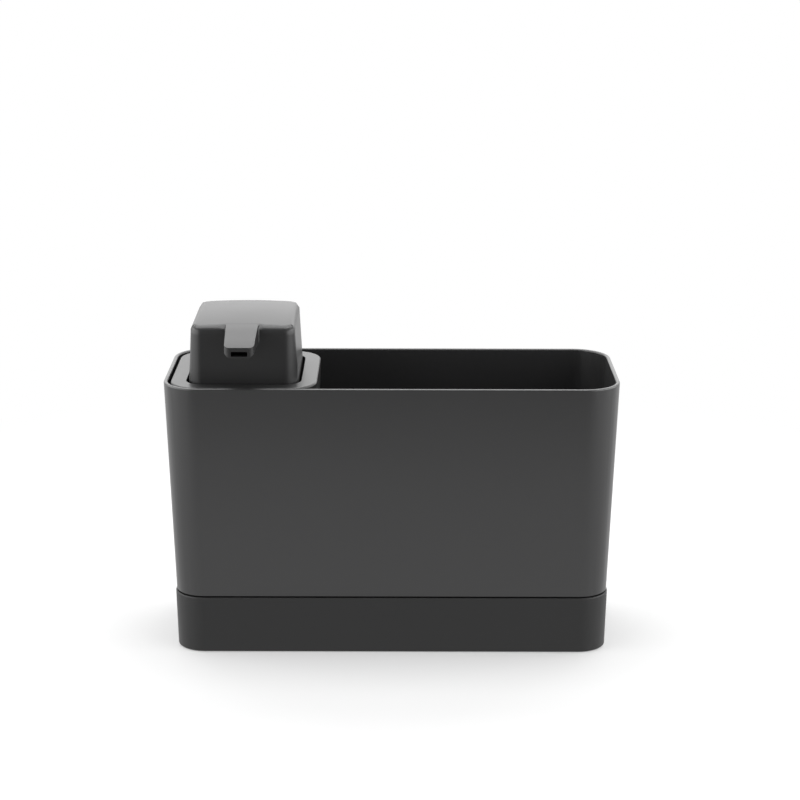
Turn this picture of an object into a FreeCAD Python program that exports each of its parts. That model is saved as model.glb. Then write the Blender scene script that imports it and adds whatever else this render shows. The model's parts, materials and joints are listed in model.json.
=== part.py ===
import FreeCAD, Part
import math
import os
import re
import Sketcher

# A soap pump caddy for a washbasin: a tapered container standing in a drip tray, with a
# soap dispenser in its left end and an open bay at the right. Millimetres, +Z up, front at -Y.
# The origin is under the middle of the tray, on the surface that the caddy stands on.

SIZES = {
    # the container, the upper shell of the caddy
    "rim_width": (200.0, "container's length over its rim"),
    "rim_depth": (75.6, "container's depth over its rim"),
    "rim_height": (122.8, "height of the rim above the table"),
    "rim_corner": (16.4, "plan radius of the container's corners at the rim"),
    "container_draft": (2.0, "slope of the container's walls, degrees"),
    "container_wall": (1.8, "container's wall"),
    "container_floor": (2.0, "container's floor"),
    "rim_bevel": (0.45, "bevel along both edges of the rim"),
    "bay_floor_bevel": (2.0, "slope between the container's walls and floor"),
    "bay_rib_wall": (1.8, "thickness of the low rib beside the bottle"),
    "bay_rib_height": (12.0, "height of the low rib beside the bottle"),
    "drain_slot_width": (4.0, "width of a drain slot"),
    "drain_slot_pitch": (14.0, "spacing of the drain slots"),
    "drain_slot_margin": (14.0, "floor left between the walls and the drain slots"),
    "spigot_depth": (6.4, "how far the container's spigot reaches into the tray"),
    "spigot_wall": (1.8, "wall of the spigot"),
    "spigot_clearance": (0.35, "gap between the spigot and the tray's wall"),
    # the drip tray and its foot
    "seam_height": (26.0, "height of the tray's top edge above the table"),
    "seam_gap": (0.6, "shadow gap between the tray and the container"),
    "tray_proud": (0.5, "how far the tray stands out past the container"),
    "tray_draft": (1.4, "slope of the tray's walls, degrees"),
    "tray_wall": (2.0, "tray's wall"),
    "tray_floor": (2.4, "tray's floor"),
    "tray_edge_bevel": (0.4, "bevel along the tray's top"),
    "tray_foot_bevel": (0.3, "bevel under the tray"),
    "tray_rib_wall": (1.6, "thickness of the ribs that carry the container"),
    "tray_rib_reach": (5.0, "how far those ribs reach in from the tray's wall"),
    "tray_rib_end_gap": (38.0, "distance of the outer ribs from the tray's end walls"),
    "foot_thickness": (1.5, "thickness of the rubber foot ring"),
    "foot_proud": (0.3, "how far the foot ring stands out under the tray"),
    "foot_band": (5.0, "width of the foot ring's band"),
    "foot_inset": (6.0, "distance of the foot ring from the tray's bottom edge"),
    "foot_clearance": (0.1, "gap at the sides of the foot ring's groove"),
    # the bottle and its cover
    "dispenser_side_gap": (1.0, "gap between the bottle and the container's left wall"),
    "dispenser_front_gap": (1.7, "gap between the bottle and the container's front and back walls"),
    "bottle_width": (64.4, "bottle's width at its top"),
    "bottle_corner": (13.6, "plan radius of the bottle's corners at its top"),
    "bottle_wall": (1.8, "bottle's wall"),
    "bottle_floor": (2.0, "bottle's floor"),
    "bottle_foot_bevel": (2.2, "bevel under the bottle, clear of the slope in the container"),
    "bottle_rib_clearance": (1.0, "gap between the bottle's foot and the low rib"),
    "cover_drop": (0.5, "how far the cover's top lies under the rim"),
    "cover_plate": (3.0, "thickness of the cover's plate"),
    "cover_bevel": (0.6, "bevel round the cover's plate"),
    "well_wall": (1.8, "wall of the cover's well"),
    "well_floor": (2.0, "floor of the cover's well"),
    "plug_depth": (8.0, "depth of the cover's plug in the bottle's mouth"),
    "plug_wall": (2.4, "wall of the cover's plug"),
    "plug_clearance": (0.3, "least gap between the plug and the bottle"),
    "seal_drop": (2.4, "distance of the seal's groove under the cover's plate"),
    "seal_height": (2.4, "height of the seal"),
    "seal_groove_depth": (1.0, "depth of the seal's groove"),
    "seal_proud": (0.22, "how far the seal stands out of its groove"),
    # the push head and its spout
    "shoulder_width": (7.0, "width of the cover's band round its well"),
    "head_corner": (6.4, "plan radius of the head's corners at its foot"),
    "head_draft": (3.0, "slope of the head's walls, degrees"),
    "head_gap": (1.0, "gap between the head and the well"),
    "head_skirt": (4.0, "how far the head reaches into the well at rest"),
    "head_back_height": (26.6, "height of the head's top above the cover, at the back"),
    "head_bend_height": (26.05, "height of the head's top above the cover, where it starts to bend"),
    "head_bend_inset": (8.0, "distance of that bend behind the head's front"),
    "head_crown_radius": (300.0, "radius of the top's crown from side to side"),
    "head_bevel": (2.0, "bevel round the head's top"),
    "head_wall": (1.8, "head's wall under its roof"),
    "head_roof": (2.6, "head's roof under the bend"),
    "spout_reach": (19.6, "how far the spout stands out of the head"),
    "spout_width": (14.1, "spout's width at its root"),
    "spout_floor_width": (8.2, "width of the spout's flat underside"),
    "spout_lift": (15.9, "height of the spout's underside above the cover"),
    "spout_hull": (4.2, "height of the spout's curved lower sides"),
    "spout_tip_width": (12.9, "spout's width at its tip"),
    "spout_top_radius": (76.0, "radius of the bend down along the spout"),
    "spout_tip_round": (2.4, "plan radius of the spout's tip"),
    "spout_overlap": (5.0, "how far the spout's form runs into the head"),
    "nozzle_width": (7.1, "width of the spout's mouth"),
    "nozzle_height": (2.1, "height of the spout's mouth"),
    "nozzle_rise": (1.75, "height of the mouth's middle above the spout's underside"),
    "nozzle_corner": (0.4, "corner radius of the mouth"),
    "duct_wall": (1.0, "wall of the duct inside the head"),
    "duct_gap": (0.1, "gap between the duct and the head's front wall"),
    # the pump
    "press_travel": (12.0, "stroke of the head"),
    "press_clearance": (1.5, "room left under the head at the end of its stroke"),
    "gasket_thickness": (1.0, "gasket under the pump's flange"),
    "flange_thickness": (2.6, "pump's flange"),
    "flange_width": (3.4, "how far the flange stands out of the housing"),
    "guide_plate": (2.2, "top of the stem guide"),
    "guide_rim": (3.0, "how far the stem guide's top stands out past the housing's bore"),
    "guide_sleeve": (5.0, "how far the stem guide reaches into the housing"),
    "wiper_width": (1.5, "width of the wiper round the stem"),
    "wiper_height": (1.2, "height of the wiper"),
    "stem_diameter": (8.0, "outside of the stem"),
    "stem_bore": (4.4, "bore of the stem"),
    "stem_grip": (9.0, "length of the stem inside the head's socket"),
    "stem_gap": (0.05, "running gap round the stem"),
    "socket_wall": (1.6, "wall of the socket on the stem"),
    "housing_bore": (13.0, "bore of the pump's housing"),
    "housing_wall": (1.4, "wall of the pump's housing"),
    "housing_fit": (0.1, "gap between the housing and the cover's hole"),
    "piston_height": (8.0, "height of the piston"),
    "piston_lip": (2.0, "height of the piston's lips"),
    "piston_waist": (0.8, "depth of the waist between the piston's lips"),
    "piston_gap": (0.06, "running gap between the piston and the housing"),
    "piston_stop": (0.1, "gap between the piston and the stem guide at rest"),
    "piston_web": (1.6, "web of the piston under the stem's foot"),
    "spring_length": (26.0, "length of the spring at rest"),
    "spring_wire": (1.1, "spring's wire"),
    "spring_diameter": (9.6, "spring's diameter at the middle of its wire"),
    "seat_thickness": (1.5, "thickness of the spring's seat"),
    "seat_collar": (2.0, "height of the seat's collar inside the spring"),
    "fit_gap": (0.05, "gap between pieces that are pushed together"),
    "ball_diameter": (4.76, "valve balls"),
    "ball_lift": (1.5, "lift of a valve ball"),
    "ball_gap": (0.03, "gap under a valve ball on its seat"),
    "ball_cage_gap": (0.4, "gap round a valve ball in its cage"),
    "port_diameter": (3.4, "ports that the valve balls close"),
    "port_land": (2.0, "length of a valve's port"),
    "tube_diameter": (6.4, "outside of the dip tube"),
    "tube_wall": (1.0, "wall of the dip tube"),
    "tube_grip": (9.0, "length of the dip tube inside the housing"),
    "tube_foot_gap": (2.5, "distance of the dip tube from the bottle's floor"),
    "tube_notch": (2.4, "height of the notch in the dip tube's foot"),
    "nut_height": (6.0, "height of the retaining nut"),
    "nut_wall": (4.2, "least wall of the hexagonal retaining nut"),
}

doc = FreeCAD.newDocument("soap_pump_caddy")
sheet = doc.addObject("Spreadsheet::Sheet", "Sizes")
for row, (alias, (value, note)) in enumerate(SIZES.items(), start=1):
    sheet.set(f"A{row}", alias)
    sheet.set(f"B{row}", str(value))
    sheet.set(f"C{row}", note)
    sheet.setAlias(f"B{row}", alias)
doc.recompute()

# Levels, each worked out from the sizes
CONTAINER_FOOT = "(seam_height + seam_gap)"
BAY_FLOOR = f"({CONTAINER_FOOT} + container_floor)"
SPIGOT_FOOT = f"({CONTAINER_FOOT} - spigot_depth)"
TRAY_FLOOR = "(foot_proud + tray_floor)"
COVER_TOP = "(rim_height - cover_drop)"
COVER_UNDER = f"({COVER_TOP} - cover_plate)"
BOTTLE_FLOOR = f"({BAY_FLOOR} + bottle_floor)"
HEAD_FOOT = f"({COVER_TOP} - head_skirt)"
HEAD_BACK = f"({COVER_TOP} + head_back_height)"
HEAD_BEND = f"({COVER_TOP} + head_bend_height)"
HEAD_CEILING = f"({HEAD_BEND} - head_roof)"
SPOUT_UNDER = f"({COVER_TOP} + spout_lift)"
NOZZLE_MIDDLE = f"({SPOUT_UNDER} + nozzle_rise)"
WELL_FLOOR = f"({HEAD_FOOT} - press_travel - press_clearance)"
WELL_UNDER = f"({WELL_FLOOR} - well_floor)"
FLANGE_UNDER = f"({WELL_FLOOR} + gasket_thickness)"
FLANGE_TOP = f"({FLANGE_UNDER} + flange_thickness)"
GUIDE_TOP = f"({FLANGE_TOP} + guide_plate)"
SLEEVE_FOOT = f"({FLANGE_TOP} - guide_sleeve)"
SOCKET_FOOT = f"({GUIDE_TOP} + press_travel + press_clearance)"
STEM_TOP = f"({SOCKET_FOOT} + stem_grip)"
PISTON_TOP = f"({SLEEVE_FOOT} - piston_stop)"
PISTON_FOOT = f"({PISTON_TOP} - piston_height)"
STEM_FOOT = f"({PISTON_FOOT} + piston_web)"
SPRING_FOOT = f"({PISTON_FOOT} - spring_length)"
CAGE_TOP = f"({SPRING_FOOT} - seat_thickness)"
BALL_HOLD = "sqrt(ball_diameter ^ 2 - port_diameter ^ 2) / 2"
CAGE_HEIGHT = f"(2 * {BALL_HOLD} + ball_lift + 2 * ball_gap)"
BALL_RISE = f"({BALL_HOLD} + ball_gap)"
INLET_SEAT = f"({CAGE_TOP} - {CAGE_HEIGHT})"
OUTLET_SEAT = f"({STEM_TOP} - {CAGE_HEIGHT})"
TUBE_TOP = f"({INLET_SEAT} - port_land)"
HOUSING_FOOT = f"({TUBE_TOP} - tube_grip)"
TUBE_FOOT = f"({BOTTLE_FLOOR} + tube_foot_gap)"

# Outlines and radii, each worked out from the sizes
SEAM_DRAW_IN = "((rim_height - seam_height) * tan(container_draft) - tray_proud)"
TRAY_WIDTH = f"(rim_width - 2 * {SEAM_DRAW_IN})"
TRAY_DEPTH = f"(rim_depth - 2 * {SEAM_DRAW_IN})"
TRAY_CORNER = f"(rim_corner - {SEAM_DRAW_IN})"
TRAY_FLOOR_DRAW_IN = f"(tray_wall + (seam_height - {TRAY_FLOOR}) * tan(tray_draft))"
TRAY_FOOT_DRAW_IN = "((seam_height - foot_proud) * tan(tray_draft) + foot_inset)"
SPIGOT_DRAW_IN = "(tray_wall + spigot_clearance)"
BAY_DRAW_IN = f"(container_wall + (rim_height - {BAY_FLOOR}) * tan(container_draft))"
BOTTLE_FOOT_DRAW_IN = f"(({COVER_UNDER} - {BAY_FLOOR}) * tan(container_draft))"
BOTTLE_DEPTH = "(rim_depth - 2 * (container_wall + dispenser_front_gap))"
DISPENSER_X = "(container_wall + dispenser_side_gap + (bottle_width - rim_width) / 2)"
BAY_RIB_X = f"({DISPENSER_X} + bottle_width / 2 - {BOTTLE_FOOT_DRAW_IN} + bottle_rib_clearance)"
BAY_LEFT = f"({BAY_RIB_X} + bay_rib_wall)"
BAY_RIGHT = f"(rim_width / 2 - {BAY_DRAW_IN})"
PLUG_DRAW_IN = "(bottle_wall + plug_depth * tan(container_draft) + plug_clearance)"
WELL_WIDTH = "(bottle_width - 2 * shoulder_width)"
WELL_DEPTH = f"({BOTTLE_DEPTH} - 2 * shoulder_width)"
WELL_CORNER = "(head_corner + head_gap)"
HEAD_WIDTH = f"({WELL_WIDTH} - 2 * head_gap)"
HEAD_DEPTH = f"({WELL_DEPTH} - 2 * head_gap)"
HEAD_DRAW_IN = f"(head_wall + ({HEAD_CEILING} - {HEAD_FOOT}) * tan(head_draft))"
HEAD_FRONT_Y = f"({HEAD_DEPTH} / 2 - ({HEAD_BEND} - {HEAD_FOOT}) * tan(head_draft))"
BORE = "(housing_bore / 2)"
BARREL = f"({BORE} + housing_wall)"
FLANGE = f"({BARREL} + flange_width)"
STEM = "(stem_diameter / 2)"
PORT = "(port_diameter / 2)"
CAGE = "(ball_diameter / 2 + ball_cage_gap)"
TUBE = "(tube_diameter / 2)"

SMALL = 1e-4
UP = FreeCAD.Vector(0, 0, 1)


def in_sheet(expression):
    """The expression with each size's name pointing at its cell in the sheet."""
    return re.sub(r"[a-z_]+", lambda word: f"Sizes.{word[0]}" if word[0] in SIZES else word[0], expression)


def number(expression):
    """What an expression of sizes comes to."""
    return float(sheet.evalExpression(in_sheet(expression)))


def bind(item, name, expression):
    """Ties a property of an object to the sheet."""
    item.setExpression(name, in_sheet(expression))


def new_body(label, x="0"):
    """A body with its own label, standing at x on the caddy's middle plane."""
    body = doc.addObject("PartDesign::Body", label)
    body.Label = label
    bind(body, "Placement.Base.x", x)
    return body


def new_sketch(body, plane, name, offset="0"):
    """A sketch on one of the body's origin planes, moved along the plane's normal."""
    sketch = body.newObject("Sketcher::SketchObject", name)
    support = next(item for item in body.Origin.OriginFeatures if item.Role == plane)
    sketch.AttachmentSupport = (support, "")
    sketch.MapMode = "FlatFace"
    bind(sketch, "AttachmentOffset.Base.z", offset)
    return sketch


def level_sketch(body, name, height):
    """A level sketch at a height above the table."""
    return new_sketch(body, "XY_Plane", name, height)


def measure(sketch, name, constraint, expression):
    """Adds a dimension to a sketch and ties it to the sheet."""
    index = sketch.addConstraint(constraint)
    label = f"{name}_{index}"
    sketch.renameConstraint(index, label)
    bind(sketch, f"Constraints.{label}", expression)


def place_point(sketch, geometry, end, x, y):
    """Dimensions one point of a sketch from the sketch's origin."""
    across = Sketcher.Constraint("DistanceX", -1, 1, geometry, end, number(x))
    along = Sketcher.Constraint("DistanceY", -1, 1, geometry, end, number(y))
    measure(sketch, "across", across, x)
    measure(sketch, "along", along, y)


def arc(x, y, radius, start, end):
    """An arc for a sketch, from one angle to another in degrees."""
    circle = Part.Circle(FreeCAD.Vector(x, y, 0), UP, radius)
    return Part.ArcOfCircle(circle, math.radians(start), math.radians(end))


def line(start, end):
    """A straight edge for a sketch."""
    return Part.LineSegment(FreeCAD.Vector(*start, 0), FreeCAD.Vector(*end, 0))


def rounded_rectangle(sketch, width, depth, corner, x="0", y="0"):
    """Adds a rounded rectangle about (x, y)."""
    left, right = f"{x} - ({width}) / 2", f"{x} + ({width}) / 2"
    front, back = f"{y} - ({depth}) / 2", f"{y} + ({depth}) / 2"
    x0, x1, y0, y1 = (number(side) for side in (left, right, front, back))
    radius = number(corner)
    first = sketch.GeometryCount
    sketch.addGeometry([
        line((x0 + radius, y0), (x1 - radius, y0)),
        arc(x1 - radius, y0 + radius, radius, -90, 0),
        line((x1, y0 + radius), (x1, y1 - radius)),
        arc(x1 - radius, y1 - radius, radius, 0, 90),
        line((x1 - radius, y1), (x0 + radius, y1)),
        arc(x0 + radius, y1 - radius, radius, 90, 180),
        line((x0, y1 - radius), (x0, y0 + radius)),
        arc(x0 + radius, y0 + radius, radius, 180, 270),
    ], False)
    for side in range(8):
        follower = first + (side + 1) % 8
        sketch.addConstraint(Sketcher.Constraint("Tangent", first + side, 2, follower, 1))
    for side, way in ((0, "Horizontal"), (2, "Vertical"), (4, "Horizontal"), (6, "Vertical")):
        sketch.addConstraint(Sketcher.Constraint(way, first + side))
    for side in (3, 5, 7):
        sketch.addConstraint(Sketcher.Constraint("Equal", first + 1, first + side))
    for side, way, place in ((6, "DistanceX", left), (2, "DistanceX", right),
                             (0, "DistanceY", front), (4, "DistanceY", back)):
        edge = Sketcher.Constraint(way, -1, 1, first + side, 1, number(place))
        measure(sketch, "side", edge, place)
    measure(sketch, "corner", Sketcher.Constraint("Radius", first + 1, radius), corner)


def circle(sketch, diameter, x="0", y="0"):
    """Adds a circle about (x, y)."""
    centre = FreeCAD.Vector(number(x), number(y), 0)
    index = sketch.addGeometry(Part.Circle(centre, UP, number(diameter) / 2), False)
    place_point(sketch, index, 3, x, y)
    size = Sketcher.Constraint("Diameter", index, number(diameter))
    measure(sketch, "diameter", size, diameter)


def polygon(sketch, corners):
    """Adds a closed outline of straight edges through the corners."""
    points = [(number(x), number(y)) for x, y in corners]
    first = sketch.GeometryCount
    count = len(points)
    edges = [line(points[index], points[(index + 1) % count]) for index in range(count)]
    sketch.addGeometry(edges, False)
    for index in range(count):
        follower = first + (index + 1) % count
        sketch.addConstraint(Sketcher.Constraint("Coincident", first + index, 2, follower, 1))
    for index, (x, y) in enumerate(corners):
        place_point(sketch, first + index, 1, x, y)


def rectangle(sketch, left, right, front, back):
    """Adds a sharp-cornered rectangle."""
    polygon(sketch, ((left, front), (right, front), (right, back), (left, back)))


def finish_feature(body, feature, adds):
    """Rebuilds and makes sure that a feature added or took away material."""
    before = body.Shape.Volume if not body.Shape.isNull() else 0.0
    doc.recompute()
    change = body.Shape.Volume - before
    if feature.Shape.isNull() or (change < SMALL if adds else change > -SMALL):
        raise RuntimeError(f"{body.Label}: {feature.Name} changed the volume by {change:.4f}")
    return feature


def pad(body, sketch, name, length, taper="0", downward=False):
    """Raises a sketch into a solid, along its normal or against it."""
    feature = body.newObject("PartDesign::Pad", name)
    feature.Profile = sketch
    feature.Reversed = downward
    bind(feature, "Length", length)
    bind(feature, "TaperAngle", taper)
    return finish_feature(body, feature, adds=True)


def pocket(body, sketch, name, length=None, taper="0", upward=False):
    """Cuts a sketch into the solid against its normal or along it, or right through."""
    feature = body.newObject("PartDesign::Pocket", name)
    feature.Profile = sketch
    feature.Reversed = upward
    bind(feature, "TaperAngle", taper)
    if length is None:
        feature.Type = "ThroughAll"
    else:
        bind(feature, "Length", length)
    return finish_feature(body, feature, adds=False)


def bevel_edges(body, name, size, chosen):
    """Bevels the outer edges of the body that the test chooses by their boxes."""
    base = body.Tip
    numbered = enumerate(base.Shape.Edges, start=1)
    edges = [f"Edge{index}" for index, edge in numbered if chosen(edge.BoundBox)]
    if not edges:
        raise RuntimeError(f"{body.Label}: no edge for {name}")
    feature = body.newObject("PartDesign::Chamfer", name)
    feature.Base = (base, edges)
    bind(feature, "Size", size)
    return finish_feature(body, feature, adds=False)


def level_at(height):
    """A test for edges that lie level at a height."""
    level = number(height)
    return lambda box: abs(box.ZMin - level) < SMALL and abs(box.ZMax - level) < SMALL


def turned(label, corners, x="0"):
    """A body turned about its upright axis from (radius, height) corners."""
    body = new_body(label, x)
    sketch = new_sketch(body, "XZ_Plane", f"{label}_section")
    polygon(sketch, corners)
    feature = body.newObject("PartDesign::Revolution", f"{label}_turning")
    feature.Profile = sketch
    feature.ReferenceAxis = (sketch, ["V_Axis"])
    feature.Angle = 360
    finish_feature(body, feature, adds=True)
    return body


def drawn_in(draw_in, width="rim_width", depth="rim_depth", corner="rim_corner"):
    """An outline's width, depth and corner radius, drawn in all round."""
    return f"{width} - 2 * ({draw_in})", f"{depth} - 2 * ({draw_in})", f"{corner} - ({draw_in})"


def tray_outline(draw_in):
    """The tray's outline at its top, drawn in all round."""
    return drawn_in(draw_in, TRAY_WIDTH, TRAY_DEPTH, TRAY_CORNER)


def bottle_outline(draw_in):
    """The bottle's outline at its top, drawn in all round."""
    return drawn_in(draw_in, "bottle_width", BOTTLE_DEPTH, "bottle_corner")


def head_outline(draw_in):
    """The head's outline at its foot, drawn in all round."""
    return drawn_in(draw_in, HEAD_WIDTH, HEAD_DEPTH, "head_corner")


def square_outline(sketch, draw_in):
    """Adds a square-cornered outline under the tray, drawn in from the tray's own."""
    x, y = f"({TRAY_WIDTH} / 2 - ({draw_in}))", f"({TRAY_DEPTH} / 2 - ({draw_in}))"
    rectangle(sketch, f"-{x}", x, f"-{y}", y)


def make_base_tray():
    """The drip tray, with ribs that carry the container and a groove for the foot ring."""
    tray = new_body("base_tray")
    outline = level_sketch(tray, "tray_outline", "seam_height")
    rounded_rectangle(outline, *tray_outline("0"))
    pad(tray, outline, "tray_block", "seam_height - foot_proud", "-tray_draft", downward=True)
    bevel_edges(tray, "tray_foot_edge", "tray_foot_bevel", level_at("foot_proud"))
    bevel_edges(tray, "tray_top_edge", "tray_edge_bevel", level_at("seam_height"))
    inside = level_sketch(tray, "tray_inside", "seam_height")
    rounded_rectangle(inside, *tray_outline("tray_wall"))
    pocket(tray, inside, "tray_hollow", f"seam_height - {TRAY_FLOOR}", "-tray_draft")

    ribs = level_sketch(tray, "tray_ribs", TRAY_FLOOR)
    side_wall = f"({TRAY_DEPTH} / 2 - {TRAY_FLOOR_DRAW_IN})"
    end_wall = f"({TRAY_WIDTH} / 2 - {TRAY_FLOOR_DRAW_IN})"
    for x in (f"tray_rib_end_gap - {end_wall}", "0", f"{end_wall} - tray_rib_end_gap"):
        for way in ("-1", "1"):
            near, far = f"({side_wall} - tray_rib_reach)", f"({side_wall} + tray_wall / 2)"
            rectangle(ribs, f"{x} - tray_rib_wall / 2", f"{x} + tray_rib_wall / 2",
                      f"{way} * {near}", f"{way} * {far}")
    for way in ("-1", "1"):
        near, far = f"({end_wall} - tray_rib_reach)", f"({end_wall} + tray_wall / 2)"
        rectangle(ribs, f"{way} * {near}", f"{way} * {far}", "-tray_rib_wall / 2", "tray_rib_wall / 2")
    pad(tray, ribs, "tray_carrier_ribs", f"{SPIGOT_FOOT} - {TRAY_FLOOR}")

    groove = level_sketch(tray, "foot_groove_outline", "foot_proud")
    square_outline(groove, f"{TRAY_FOOT_DRAW_IN} - foot_clearance")
    square_outline(groove, f"{TRAY_FOOT_DRAW_IN} + foot_band + foot_clearance")
    pocket(tray, groove, "foot_groove", "foot_thickness - foot_proud", upward=True)
    return tray


def make_foot_ring():
    """The ring of sheet rubber that the tray stands on."""
    ring = new_body("foot_ring")
    outline = level_sketch(ring, "foot_ring_outline", "0")
    square_outline(outline, TRAY_FOOT_DRAW_IN)
    square_outline(outline, f"{TRAY_FOOT_DRAW_IN} + foot_band")
    pad(ring, outline, "foot_ring_band", "foot_thickness")
    return ring


def drain_slot(sketch, x):
    """Adds one drain slot across the container's floor, about x."""
    end = f"(rim_depth / 2 - {BAY_DRAW_IN} - drain_slot_margin)"
    rectangle(sketch, f"{x} - drain_slot_width / 2", f"{x} + drain_slot_width / 2", f"-{end}", end)


def make_container():
    """The tapered container: rim, walls, drained floor, low rib and the spigot under it."""
    container = new_body("container")
    outline = level_sketch(container, "rim_outline", "rim_height")
    rounded_rectangle(outline, *drawn_in("0"))
    pad(container, outline, "container_block", f"rim_height - {CONTAINER_FOOT}", "-container_draft",
        downward=True)
    inside = level_sketch(container, "rim_inside", "rim_height")
    rounded_rectangle(inside, *drawn_in("container_wall"))
    slope_top = f"({BAY_FLOOR} + bay_floor_bevel)"
    pocket(container, inside, "container_hollow", f"rim_height - {slope_top}", "-container_draft")
    slope = level_sketch(container, "bay_slope_outline", slope_top)
    slope_draw_in = f"container_wall + (rim_height - {slope_top}) * tan(container_draft)"
    rounded_rectangle(slope, *drawn_in(slope_draw_in))
    pocket(container, slope, "bay_floor_slope", "bay_floor_bevel", "-45")
    bevel_edges(container, "rim_edge", "rim_bevel", level_at("rim_height"))

    rib = level_sketch(container, "bay_rib_outline", BAY_FLOOR)
    rib_end = f"(rim_depth / 2 - {BAY_DRAW_IN} + container_wall / 2)"
    rectangle(rib, BAY_RIB_X, BAY_LEFT, f"-{rib_end}", rib_end)
    pad(container, rib, "bay_rib", "bay_rib_height")

    spigot = level_sketch(container, "spigot_outline", CONTAINER_FOOT)
    rounded_rectangle(spigot, *tray_outline(SPIGOT_DRAW_IN))
    pad(container, spigot, "spigot", "spigot_depth", "-tray_draft", downward=True)
    spigot_inside = level_sketch(container, "spigot_inside", CONTAINER_FOOT)
    rounded_rectangle(spigot_inside, *tray_outline(f"{SPIGOT_DRAW_IN} + spigot_wall"))
    pocket(container, spigot_inside, "spigot_hollow", "spigot_depth", "-tray_draft")

    bay_middle = f"(({BAY_LEFT} + {BAY_RIGHT}) / 2)"
    bay_length = f"({BAY_RIGHT} - {BAY_LEFT} - 2 * drain_slot_margin)"
    bay_steps = f"floor({bay_length} / drain_slot_pitch)"
    bay_slot = level_sketch(container, "bay_drain_outline", BAY_FLOOR)
    drain_slot(bay_slot, f"{bay_middle} - {bay_steps} * drain_slot_pitch / 2")
    first_slot = pocket(container, bay_slot, "bay_drain")
    row = container.newObject("PartDesign::LinearPattern", "bay_drain_row")
    row.Originals = [first_slot]
    row.Direction = (bay_slot, ["H_Axis"])
    row.Mode = "Extent"
    bind(row, "Length", f"{bay_steps} * drain_slot_pitch")
    bind(row, "Occurrences", f"{bay_steps} + 1")
    container.Tip = row
    finish_feature(container, row, adds=False)

    bottle_slots = level_sketch(container, "bottle_drain_outline", BAY_FLOOR)
    for step in (-1, 0, 1):
        drain_slot(bottle_slots, f"{DISPENSER_X} + {step} * drain_slot_pitch")
    pocket(container, bottle_slots, "bottle_drain")
    return container


def make_bottle():
    """The square-cut bottle, which tapers as the container does."""
    bottle = new_body("bottle", DISPENSER_X)
    outline = level_sketch(bottle, "bottle_outline", COVER_UNDER)
    rounded_rectangle(outline, *bottle_outline("0"))
    pad(bottle, outline, "bottle_block", f"{COVER_UNDER} - {BAY_FLOOR}", "-container_draft", downward=True)
    bevel_edges(bottle, "bottle_foot_edge", "bottle_foot_bevel", level_at(BAY_FLOOR))
    inside = level_sketch(bottle, "bottle_inside", COVER_UNDER)
    rounded_rectangle(inside, *bottle_outline("bottle_wall"))
    pocket(bottle, inside, "bottle_hollow", f"{COVER_UNDER} - {BOTTLE_FLOOR}", "-container_draft")
    return bottle


def make_bottle_cover():
    """The cover: a plate just under the rim, a well for the head and a plug in the bottle's mouth."""
    cover = new_body("bottle_cover", DISPENSER_X)
    plate = level_sketch(cover, "cover_outline", COVER_TOP)
    rounded_rectangle(plate, *bottle_outline("0"))
    pad(cover, plate, "cover_plate_block", "cover_plate", downward=True)
    bevel_edges(cover, "cover_edge", "cover_bevel", level_at(COVER_TOP))

    well = level_sketch(cover, "well_outline", COVER_UNDER)
    rounded_rectangle(well, *drawn_in("-well_wall", WELL_WIDTH, WELL_DEPTH, WELL_CORNER))
    pad(cover, well, "well_block", f"{COVER_UNDER} - {WELL_UNDER}", downward=True)

    plug = level_sketch(cover, "plug_outline", COVER_UNDER)
    rounded_rectangle(plug, *bottle_outline(PLUG_DRAW_IN))
    rounded_rectangle(plug, *bottle_outline(f"{PLUG_DRAW_IN} + plug_wall"))
    pad(cover, plug, "plug", "plug_depth", downward=True)
    groove = level_sketch(cover, "seal_groove_outline", f"{COVER_UNDER} - seal_drop")
    rounded_rectangle(groove, *bottle_outline("bottle_wall"))
    rounded_rectangle(groove, *bottle_outline(f"{PLUG_DRAW_IN} + seal_groove_depth"))
    pocket(cover, groove, "seal_groove", "seal_height")

    opening = level_sketch(cover, "well_opening", COVER_TOP)
    rounded_rectangle(opening, WELL_WIDTH, WELL_DEPTH, WELL_CORNER)
    pocket(cover, opening, "well_hollow", f"{COVER_TOP} - {WELL_FLOOR}")
    hole = level_sketch(cover, "pump_hole_outline", WELL_FLOOR)
    circle(hole, f"2 * ({BARREL} + housing_fit)")
    pocket(cover, hole, "pump_hole")
    return cover


def make_cover_seal():
    """The rubber ring in the plug's groove."""
    seal = new_body("cover_seal", DISPENSER_X)
    outline = level_sketch(seal, "seal_outline", f"{COVER_UNDER} - seal_drop")
    rounded_rectangle(outline, *bottle_outline(f"{PLUG_DRAW_IN} - seal_proud"))
    rounded_rectangle(outline, *bottle_outline(f"{PLUG_DRAW_IN} + seal_groove_depth"))
    pad(seal, outline, "seal_ring", "seal_height", downward=True)
    return seal


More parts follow.
